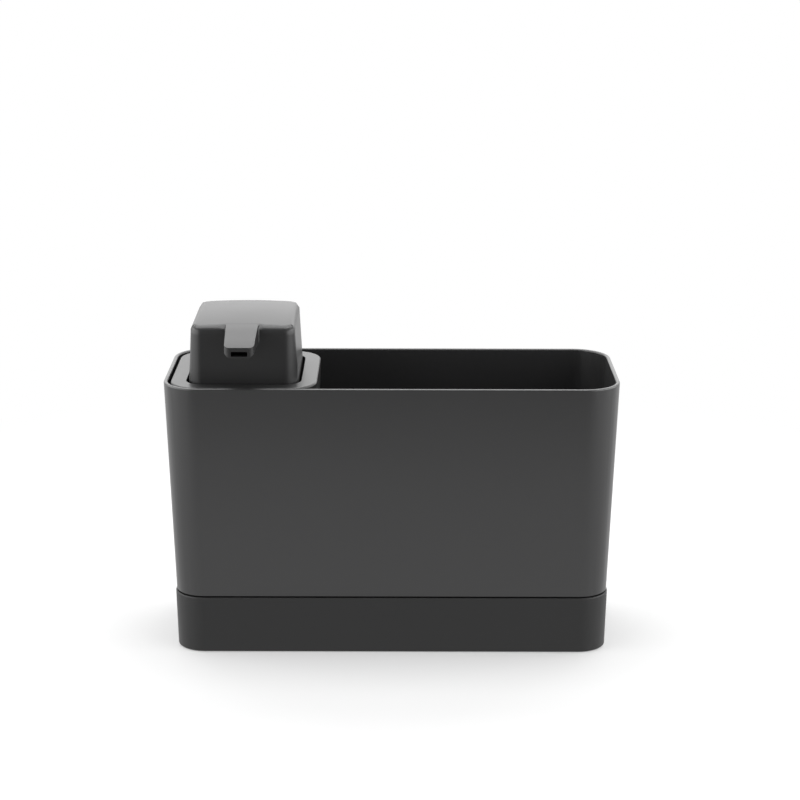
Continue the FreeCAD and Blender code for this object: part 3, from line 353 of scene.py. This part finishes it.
def moulded_grain_group():
    """Fine grain of moulded plastic: a height for bumps and a drift of the roughness."""
    group, inside, outside = new_group(
        "Moulded grain",
        [("Vector", "Place", None), ("Float", "Grains per metre", 2600.0), ("Float", "Roughness", 0.4),
         ("Float", "Roughness drift", 0.05)],
        [("Float", "Height", None), ("Float", "Roughness", None)])
    fine = add_node(group, "ShaderNodeTexNoise", [
        ("Vector", inside.outputs["Place"]), ("Scale", inside.outputs["Grains per metre"]),
        ("Detail", 2.0), ("Roughness", 0.55)])
    broad = add_node(group, "ShaderNodeTexNoise", [
        ("Vector", inside.outputs["Place"]), ("Scale", ROUGHNESS_PATCHES),
        ("Detail", 4.0), ("Roughness", 0.6)])
    centred = add_node(group, "ShaderNodeMath", [(0, broad.outputs["Fac"]), (1, 0.5)], operation="SUBTRACT")
    drift = add_node(group, "ShaderNodeMath", [
        (0, centred.outputs[0]), (1, inside.outputs["Roughness drift"]), (2, inside.outputs["Roughness"])],
        operation="MULTIPLY_ADD")
    group.links.new(fine.outputs["Fac"], outside.inputs["Height"])
    group.links.new(drift.outputs[0], outside.inputs["Roughness"])
    return group


def worn_colour_group():
    """A colour that drifts a little over the surface and is lighter along worn edges."""
    group, inside, outside = new_group(
        "Worn colour",
        [("Vector", "Place", None), ("Color", "Colour", (0.5, 0.5, 0.5, 1.0)), ("Float", "Drift", 0.1),
         ("Float", "Edge", 0.0), ("Float", "Wear", 0.2)],
        [("Color", "Colour", None)])
    cloud = add_node(group, "ShaderNodeTexNoise", [
        ("Vector", inside.outputs["Place"]), ("Scale", TONE_PATCHES), ("Detail", 5.0), ("Roughness", 0.62)])
    centred = add_node(group, "ShaderNodeMath", [(0, cloud.outputs["Fac"]), (1, 0.5)], operation="SUBTRACT")
    tone = add_node(group, "ShaderNodeMath", [
        (0, centred.outputs[0]), (1, inside.outputs["Drift"]), (2, 1.0)], operation="MULTIPLY_ADD")
    scuff = add_node(group, "ShaderNodeTexNoise", [
        ("Vector", inside.outputs["Place"]), ("Scale", SCUFFS), ("Detail", 3.0), ("Roughness", 0.6)])
    patch = add_node(group, "ShaderNodeMath", [(0, scuff.outputs["Fac"]), (1, inside.outputs["Edge"])],
                     operation="MULTIPLY")
    lift = add_node(group, "ShaderNodeMath", [
        (0, patch.outputs[0]), (1, inside.outputs["Wear"]), (2, tone.outputs[0])], operation="MULTIPLY_ADD")
    shade = add_node(group, "ShaderNodeVectorMath", [
        (0, inside.outputs["Colour"]), ("Scale", lift.outputs[0])], operation="SCALE")
    group.links.new(shade.outputs[0], outside.inputs["Colour"])
    return group


def shared_group(name, maker):
    """A node group that is built once and used by several materials."""
    return bpy.data.node_groups.get(name) or maker()


def moulded_material(name, colour, roughness, grain=2600.0, bump=0.05, drift=0.12, wear=0.25,
                     **shader_values):
    """A moulded plastic, rubber or metal with grain, drifting tone and worn edges."""
    material = bpy.data.materials.get(name)
    if material:
        return material
    material = bpy.data.materials.new(name)
    material.use_nodes = True
    tree = material.node_tree
    shader = tree.nodes["Principled BSDF"]
    place = add_node(tree, "ShaderNodeTexCoord").outputs["Object"]
    edge = add_node(tree, "ShaderNodeAttribute", attribute_name=EDGE_LAYER).outputs["Fac"]
    worn = add_node(tree, "ShaderNodeGroup", node_tree=shared_group("Worn colour", worn_colour_group))
    fine = add_node(tree, "ShaderNodeGroup", node_tree=shared_group("Moulded grain", moulded_grain_group))
    for socket, source in (("Place", place), ("Edge", edge)):
        tree.links.new(source, worn.inputs[socket])
    tree.links.new(place, fine.inputs["Place"])
    worn.inputs["Colour"].default_value = (*colour, 1.0)
    worn.inputs["Drift"].default_value = drift
    worn.inputs["Wear"].default_value = wear
    fine.inputs["Grains per metre"].default_value = grain
    fine.inputs["Roughness"].default_value = roughness
    bumps = add_node(tree, "ShaderNodeBump", [
        ("Height", fine.outputs["Height"]), ("Strength", bump), ("Distance", 0.1 * MM)])
    tree.links.new(worn.outputs["Colour"], shader.inputs["Base Color"])
    tree.links.new(fine.outputs["Roughness"], shader.inputs["Roughness"])
    tree.links.new(bumps.outputs["Normal"], shader.inputs["Normal"])
    for socket, value in shader_values.items():
        shader.inputs[socket.replace("_", " ")].default_value = value
    return material


def container_material():
    """Satin dark plastic of the container."""
    return moulded_material("Satin dark plastic", bpy.context.scene.caddy_colours.container,
                            roughness=0.31, Specular_IOR_Level=0.62)


def tray_material():
    """Finely grained matte plastic of the tray."""
    return moulded_material("Matte tray plastic", bpy.context.scene.caddy_colours.tray,
                            roughness=0.5, bump=0.12, Specular_IOR_Level=0.42)


def dispenser_material():
    """Satin dark plastic of the dispenser."""
    return moulded_material("Satin dispenser plastic", bpy.context.scene.caddy_colours.dispenser,
                            roughness=0.36)


def pump_material():
    """Natural milky plastic of the pump's parts."""
    return moulded_material("Milky pump plastic", bpy.context.scene.caddy_colours.pump,
                            roughness=0.34, grain=900.0, bump=0.03, drift=0.06, wear=0.05)


def rubber_material():
    """Soft matte rubber."""
    return moulded_material("Soft rubber", bpy.context.scene.caddy_colours.rubber,
                            roughness=0.72, bump=0.2)


def steel_material():
    """Drawn and polished steel."""
    return moulded_material("Drawn steel", bpy.context.scene.caddy_colours.steel,
                            roughness=0.24, grain=1500.0, bump=0.02, drift=0.08, wear=0.1, Metallic=1.0)


class CADDY_OT_shells(bpy.types.Operator):
    """Softens the container and the drip tray"""
    bl_idname = "caddy.shells"
    bl_label = "Container and tray"

    def execute(self, context):
        sizes = context.scene.caddy_sizes
        top, seam = RIM_TOP - EDGE_BAND, TRAY_TOP + 2 * EDGE_BAND
        softened_node("container", "container_shell", container_material(),
                      (between(top, RIM_TOP), sizes.rim_round, 3),
                      (between(0.0, seam), sizes.moulded_round, 3),
                      (between(seam, top), sizes.moulded_round, 2))
        softened_node("base_tray", "tray_shell", tray_material(),
                      (between(TRAY_TOP - EDGE_BAND, TRAY_TOP), sizes.pump_round, 2),
                      (between(0.0, EDGE_BAND), sizes.pump_round, 2),
                      (between(EDGE_BAND, TRAY_TOP - EDGE_BAND), sizes.moulded_round, 2))
        softened_node("foot_ring", "foot_band", rubber_material(), (None, sizes.pump_round, 2))
        return {"FINISHED"}


class CADDY_OT_dispenser(bpy.types.Operator):
    """Softens the bottle, its cover and the push head with its spout"""
    bl_idname = "caddy.dispenser"
    bl_label = "Dispenser"

    def execute(self, context):
        sizes = context.scene.caddy_sizes
        plastic = dispenser_material()
        softened_node("bottle", "bottle_shell", plastic, (None, sizes.moulded_round, 3))
        softened_node("bottle_cover", "cover_shell", plastic,
                      (between(COVER_TOP - EDGE_BAND, COVER_TOP), sizes.moulded_round, 3),
                      (between(0.0, COVER_TOP - sizes.cover_plate), sizes.moulded_round, 2))
        self.soften_head(sizes, plastic)
        return {"FINISHED"}

    def outer_faces(self, mesh, low, rises):
        """The head's faces above a height that face outwards, chosen by the rise of their normals."""
        found = []
        for face in mesh.faces:
            centre, normal = face.calc_center_median(), face.normal
            # The last term lets a face over the axis count when it faces up
            outward = normal.x * (centre.x - PUMP_X) + normal.y * centre.y + normal.z * MM > 0
            if outward and centre.z > low and rises[0] < normal.z < rises[1] and centre.y > HEAD_FRONT:
                found.append(face)
        return found

    def cut(self, mesh, low, rises, place, way):
        """Cuts the head's chosen outer faces along a plane."""
        faces = self.outer_faces(mesh, low, rises)
        geometry = dict.fromkeys(item for face in faces for item in (face, *face.edges, *face.verts))
        bmesh.ops.bisect_plane(mesh, geom=list(geometry), dist=CUT_DISTANCE, plane_co=place, plane_no=way)

    def cut_strips(self, mesh, sizes, corners):
        """Cuts strips along the edges of the head's top, and lines across the top and its walls."""
        strip = sizes.crown_strip
        left, right = min(corner.x for corner in corners), max(corner.x for corner in corners)
        near, far = min(corner.y for corner in corners), max(corner.y for corner in corners)
        across, along = (1.0, 0.0, 0.0), (0.0, 1.0, 0.0)
        for place, way in ((left + strip, across), (right - strip, across),
                           (near + strip, along), (far - strip, along)):
            self.cut(mesh, TOP_LOW, LEVEL, tuple(place * share for share in way), way)
        for step in range(-sizes.crown_cuts, sizes.crown_cuts + 1):
            place = (0.0, step * far / (sizes.crown_cuts + 1), 0.0)
            self.cut(mesh, HEAD_TOP - sizes.crown_depth, OUTER, place, along)

    def push_bevel(self, mesh, sizes, place, way, beside_spout):
        """Cuts the bevel along its middle and pushes that line out to the round."""
        self.cut(mesh, BEVEL_LOW, SLOPED, place, way)
        mesh.normal_update()
        bevel = self.outer_faces(mesh, BEVEL_LOW, SLOPED)
        for vert in dict.fromkeys(vert for face in bevel for vert in face.verts):
            if abs((vert.co - place).dot(way)) < LINE_DISTANCE and beside_spout(vert.co):
                vert.co += vert.normal * sizes.crown_push

    def arch_top(self, mesh, sizes, foot, fall, half):
        """Arches the head's top from front to back, and its bevel less and less downwards."""
        for vert in mesh.verts:
            if abs(vert.co.y) < half:
                share = (vert.co.z - foot - fall * vert.co.y) / sizes.crown_bevel
                arch = sizes.head_bulge * (1 - (vert.co.y / half) ** 2)
                vert.co.z += arch * max(0.0, min(1.0, share))
        mesh.normal_update()

    def roll_crown(self, mesh, sizes):
        """Rolls the head's top edges and arches its top; gives a function for the top's height."""
        def beside_spout(point):
            return point.y > near or abs(point.x - PUMP_X) > sizes.spout_half

        def height(y):
            return HEAD_TOP - fall * (half - y) + sizes.head_bulge * (1 - (y / half) ** 2)

        low = HEAD_TOP - sizes.crown_depth
        self.cut(mesh, 0.0, UPRIGHT, (0.0, 0.0, low), (0.0, -sizes.crown_tilt, 1.0))
        points = [vert.co for face in self.outer_faces(mesh, TOP_LOW, LEVEL) for vert in face.verts]
        corners = [point for point in points if abs(point.x - PUMP_X) > sizes.spout_half]
        half = max(corner.y for corner in corners)
        near = min(corner.y for corner in corners) + sizes.crown_strip
        fall = (HEAD_TOP - min(corner.z for corner in corners)) / (2 * half)
        foot = HEAD_TOP - fall * half - sizes.crown_bevel
        middle = Vector((0.0, 0.0, foot + sizes.crown_bevel / 2))
        self.cut_strips(mesh, sizes, corners)
        self.push_bevel(mesh, sizes, middle, Vector((0.0, -fall, 1.0)), beside_spout)
        self.arch_top(mesh, sizes, foot, fall, half)
        layer = mesh.verts.layers.float.new(CROWN_LAYER)
        for face in self.outer_faces(mesh, low, OUTER):
            for vert in face.verts:
                vert[layer] = beside_spout(vert.co)
        return height

    def shade_crown(self, piece, sizes, height):
        """Gives the crown's points the normals of a round edge, also over its corners."""
        data, roll, corner = piece.data, sizes.crown_round, sizes.crown_corner
        marks = data.attributes[CROWN_LAYER].data
        rolled = [vert.index for vert in data.vertices if marks[vert.index].value > 0.5]
        wide = max(abs(data.vertices[index].co.x - PUMP_X) for index in rolled) - corner
        deep = max(abs(data.vertices[index].co.y) for index in rolled) - corner
        normals = [Vector() for vert in data.vertices]
        for index in rolled:
            x, y, z = data.vertices[index].co - Vector((PUMP_X, 0.0, 0.0))
            side = Vector((x - max(-wide, min(wide, x)), y - max(-deep, min(deep, y)), 0.0))
            reach = max(side.length - corner + roll, 0.0)
            rise = max(z - height(y) + roll, WALL_LEAN * reach)
            up = Vector((0.0, (height(y - MM) - height(y + MM)) / (2 * MM), 1.0))
            normals[index] = (side.normalized() * reach + up * rise).normalized()
        data.normals_split_custom_set_from_vertices(normals)
        group = piece.vertex_groups.new(name="Rolled crown")
        group.add(rolled, 1.0, "REPLACE")
        shading = piece.modifiers["Even shading"]
        shading.vertex_group, shading.invert_vertex_group = group.name, True

    def soften_head(self, sizes, plastic):
        """Rounds the head's top, hollows out the spout's root and breaks the spout's edges."""
        def on_spout(edge, start, end):
            reach = max(abs(start.x - PUMP_X), abs(end.x - PUMP_X))
            return reach < sizes.spout_half and max(start.y, end.y) < SPOUT_BACK

        def on_crown(edge, start, end):
            high = min(start.z, end.z) > CROWN_LOW
            return high and edge.is_convex and not on_spout(edge, start, end)

        def on_root(edge, start, end):
            return on_spout(edge, start, end) and not edge.is_convex

        def on_lip(edge, start, end):
            in_mouth = max(abs(start.x - PUMP_X), abs(end.x - PUMP_X)) < sizes.mouth_half
            return on_spout(edge, start, end) and edge.is_convex and not in_mouth

        def below_crown(edge, start, end):
            return not on_crown(edge, start, end) and min(start.z, end.z) > HEAD_FOOT + EDGE_BAND

        mesh = merged_copy("pump_head")
        height = self.roll_crown(mesh, sizes)
        head = softened_mesh(mesh, "pump_head", "head_shell", plastic,
                             (on_root, sizes.spout_cove, 3),
                             (on_lip, sizes.spout_round, 3),
                             (below_crown, sizes.pump_round, 2), smooth_to=ROLLED_ANGLE)
        self.shade_crown(head, sizes, height)


class CADDY_OT_pump(bpy.types.Operator):
    """Dresses the pump's parts, winds its return spring and threads its barrel"""
    bl_idname = "caddy.pump"
    bl_label = "Pump"

    def execute(self, context):
        sizes = context.scene.caddy_sizes
        plastic, rubber, steel = pump_material(), rubber_material(), steel_material()
        for node in ("flow_channel", "pump_stem", "piston", "stem_guide", "pump_housing", "retaining_nut",
                     "spring_seat", "dip_tube"):
            softened_node(node, f"{node}_form", plastic, (None, sizes.pump_round, 2))
        for node in ("cover_seal", "stem_wiper", "housing_gasket"):
            softened_node(node, f"{node}_form", rubber, (None, sizes.pump_round, 2))
        for node in ("inlet_ball", "outlet_ball"):
            softened_node(node, f"{node}_form", steel)
        self.wind_spring(sizes, steel)
        self.thread_barrel(sizes, plastic)
        return {"FINISHED"}

    def wind(self, mesh, radius, low, section, runs):
        """Winds a small round section about the pump's axis, each run given as (turns, rise of a turn)."""
        start = Matrix.Translation((PUMP_X + radius, 0.0, low)) @ Matrix.Rotation(math.radians(90), 4, "X")
        ring = bmesh.ops.create_circle(mesh, cap_ends=False, radius=section, segments=WIND_SIDES,
                                       matrix=start)["verts"]
        geometry = [*ring, *dict.fromkeys(edge for vert in ring for edge in vert.link_edges)]
        first = geometry
        for turns, rise in runs:
            spun = bmesh.ops.spin(mesh, geom=geometry, cent=(PUMP_X, 0.0, 0.0), axis=(0.0, 0.0, 1.0),
                                  dvec=(0.0, 0.0, rise / WIND_STEPS), angle=math.tau * turns,
                                  steps=WIND_STEPS * turns, use_merge=False, use_duplicate=False)
            geometry = spun["geom_last"]
        for end in (first, geometry):
            edges = [item for item in end if isinstance(item, bmesh.types.BMEdge)]
            bmesh.ops.contextual_create(mesh, geom=edges)
        bmesh.ops.recalc_face_normals(mesh, faces=mesh.faces)

    def wind_spring(self, sizes, steel):
        """Winds the return spring: a closed turn at each end and open turns between."""
        wire = sizes.spring_wire
        low, high = SPRING_LOW[2], SPRING_HIGH[2]
        radius = (SPRING_HIGH[0] - SPRING_LOW[0] - wire) / 2
        # Each closed turn takes up a wire, and half a wire lies beyond each end of the winding
        pitch = (high - low - 3 * wire) / sizes.spring_turns
        mesh = bmesh.new()
        self.wind(mesh, radius, low + wire / 2, wire / 2,
                  ((1, wire), (sizes.spring_turns, pitch), (1, wire)))
        spring = add_piece("return_spring", mesh, "cover_unit", "spring_steel", steel, "pump_spring")
        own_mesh(spring)

    def thread_barrel(self, sizes, plastic):
        """Winds the rounded thread that shows on the barrel under the nut."""
        mesh = bmesh.new()
        pitch = sizes.thread_pitch
        low, ridge = NUT_FOOT - sizes.thread_turns * pitch, pitch / 4
        self.wind(mesh, sizes.barrel_radius, low, ridge, ((sizes.thread_turns, pitch),))
        add_piece("barrel_thread", mesh, "cover_unit", "pump_plastic", plastic)


class CADDY_OT_studio(bpy.types.Operator):
    """Sets the floor, the light and the camera"""
    bl_idname = "caddy.studio"
    bl_label = "Studio"

    def execute(self, context):
        studio = context.scene.caddy_studio
        self.lay_floor(studio)
        self.light_room(context.scene, studio)
        for name, place, size, aim, power in SOFTBOXES:
            self.hang_softbox(name, place, size, aim, getattr(studio, power))
        self.set_camera(context.scene, studio)
        context.scene.view_settings.view_transform = "Standard"
        return {"FINISHED"}

    def seen_rays(self, tree):
        """One for rays from the camera, in a reflection or through glass, and otherwise nought."""
        path = add_node(tree, "ShaderNodeLightPath")
        gloss = add_node(tree, "ShaderNodeMath", [
            (0, path.outputs["Is Camera Ray"]), (1, path.outputs["Is Glossy Ray"])], operation="MAXIMUM")
        seen = add_node(tree, "ShaderNodeMath", [
            (0, gloss.outputs[0]), (1, path.outputs["Is Transmission Ray"])], operation="MAXIMUM")
        return seen.outputs[0]

    def lay_floor(self, studio):
        """A pale table that ends in front of the caddy, keeps its shadow and runs out into white."""
        mesh = bmesh.new()
        middle = Matrix.Translation((0.0, studio.floor_size - studio.table_front, 0.0))
        bmesh.ops.create_grid(mesh, x_segments=1, y_segments=1, size=studio.floor_size, matrix=middle)
        data = bpy.data.meshes.new("studio_floor")
        mesh.to_mesh(data)
        mesh.free()
        material = bpy.data.materials.new("Pale studio floor")
        material.use_nodes = True
        tree = material.node_tree
        shader = tree.nodes["Principled BSDF"]
        shader.inputs["Base Color"].default_value = (*[studio.floor_tone] * 3, 1.0)
        shader.inputs["Roughness"].default_value = 0.9
        shader.inputs["Specular IOR Level"].default_value = 0.0
        glow = add_node(tree, "ShaderNodeEmission", [("Strength", studio.floor_lift)])
        near = add_node(tree, "ShaderNodeAddShader", [(0, shader.outputs[0]), (1, glow.outputs[0])])
        white = add_node(tree, "ShaderNodeEmission", [("Strength", 1.0)])
        place = add_node(tree, "ShaderNodeTexCoord").outputs["Object"]
        reach = add_node(tree, "ShaderNodeVectorMath", [(0, place)], operation="LENGTH")
        blend = add_node(tree, "ShaderNodeMapRange", [
            ("Value", reach.outputs["Value"]), ("From Min", studio.fade_start),
            ("From Max", studio.fade_end)], interpolation_type="SMOOTHSTEP")
        shown = add_node(tree, "ShaderNodeMixShader", [
            (0, blend.outputs["Result"]), (1, near.outputs[0]), (2, white.outputs[0])])
        lit = add_node(tree, "ShaderNodeMixShader", [
            (0, self.seen_rays(tree)), (1, shader.outputs[0]), (2, shown.outputs[0])])
        path = add_node(tree, "ShaderNodeLightPath")
        pick = add_node(tree, "ShaderNodeMixShader", [
            (0, path.outputs["Is Glossy Ray"]), (1, lit.outputs[0]), (2, white.outputs[0])])
        tree.links.new(pick.outputs[0], tree.nodes["Material Output"].inputs["Surface"])
        data.materials.append(material)
        floor = bpy.data.objects.new("studio_floor", data)
        bpy.context.scene.collection.objects.link(floor)

    def light_room(self, scene, studio):
        """A white room to look at, dimmer behind the camera, which lights less than it shows."""
        world = bpy.data.worlds.new("White room")
        scene.world = world
        world.use_nodes = True
        tree = world.node_tree
        lit = tree.nodes["Background"]
        lit.inputs["Color"].default_value = (1.0, 1.0, 1.0, 1.0)
        lit.inputs["Strength"].default_value = studio.room_light
        way = add_node(tree, "ShaderNodeSeparateXYZ", [
            (0, add_node(tree, "ShaderNodeTexCoord").outputs["Generated"])])
        depth = add_node(tree, "ShaderNodeMapRange", [
            ("Value", way.outputs["Y"]), ("From Min", -studio.room_turn), ("From Max", 0.0),
            ("To Min", studio.room_front)], interpolation_type="SMOOTHSTEP")
        path = add_node(tree, "ShaderNodeLightPath")
        strength = add_node(tree, "ShaderNodeMath", [
            (0, depth.outputs["Result"]), (1, path.outputs["Is Camera Ray"])], operation="MAXIMUM")
        white = add_node(tree, "ShaderNodeBackground", [
            ("Color", (1.0, 1.0, 1.0, 1.0)), ("Strength", strength.outputs[0])])
        pick = add_node(tree, "ShaderNodeMixShader", [
            (0, self.seen_rays(tree)), (1, lit.outputs[0]), (2, white.outputs[0])])
        tree.links.new(pick.outputs[0], tree.nodes["World Output"].inputs["Surface"])

    def hang_softbox(self, name, place, size, aim, power):
        """A large soft light that faces a point of the caddy."""
        lamp = bpy.data.lights.new(name, "AREA")
        lamp.shape = "RECTANGLE"
        lamp.size, lamp.size_y = size
        lamp.energy = power
        box = bpy.data.objects.new(name, lamp)
        box.location = place
        box.rotation_euler = (Vector(aim) - Vector(place)).to_track_quat("-Z", "Y").to_euler()
        bpy.context.scene.collection.objects.link(box)

    def set_camera(self, scene, studio):
        """The camera in front of the caddy, looking a little down."""
        lens = bpy.data.cameras.new("Front camera")
        lens.lens = studio.camera_lens
        camera = bpy.data.objects.new("Front camera", lens)
        camera.location = (studio.camera_side, -studio.camera_distance, studio.camera_height)
        look = Matrix.Rotation(math.radians(90) - studio.camera_tilt, 4, "X")
        camera.rotation_euler = (look @ Matrix.Rotation(studio.camera_roll, 4, "Z")).to_euler()
        scene.collection.objects.link(camera)
        scene.camera = camera


class CADDY_PT_sidebar(bpy.types.Panel):
    """Lists the steps that dress the caddy"""
    bl_label = "Soap pump caddy"
    bl_idname = "CADDY_PT_sidebar"
    bl_space_type = "VIEW_3D"
    bl_region_type = "UI"
    bl_category = "Caddy"

    def draw(self, context):
        for operator in OPERATORS:
            self.layout.operator(operator.bl_idname)
        scene = context.scene
        for group in (scene.caddy_sizes, scene.caddy_colours, scene.caddy_studio):
            box = self.layout.box()
            for name in group.__annotations__:
                box.prop(group, name)


OPERATORS = (CADDY_OT_shells, CADDY_OT_dispenser, CADDY_OT_pump, CADDY_OT_studio)
CLASSES = (CaddySizes, CaddyColours, CaddyStudio, *OPERATORS, CADDY_PT_sidebar)


def register():
    """Registers the classes and gives the scene their values."""
    for item in CLASSES:
        bpy.utils.register_class(item)
    bpy.types.Scene.caddy_sizes = PointerProperty(type=CaddySizes)
    bpy.types.Scene.caddy_colours = PointerProperty(type=CaddyColours)
    bpy.types.Scene.caddy_studio = PointerProperty(type=CaddyStudio)


def unregister():
    """Takes the values and the classes away again."""
    del bpy.types.Scene.caddy_studio, bpy.types.Scene.caddy_colours, bpy.types.Scene.caddy_sizes
    for item in reversed(CLASSES):
        bpy.utils.unregister_class(item)


def main():
    """Dresses the caddy, step by step."""
    register()
    bpy.ops.caddy.shells()
    bpy.ops.caddy.dispenser()
    bpy.ops.caddy.pump()
    bpy.ops.caddy.studio()


if __name__ == "__main__":
    main()
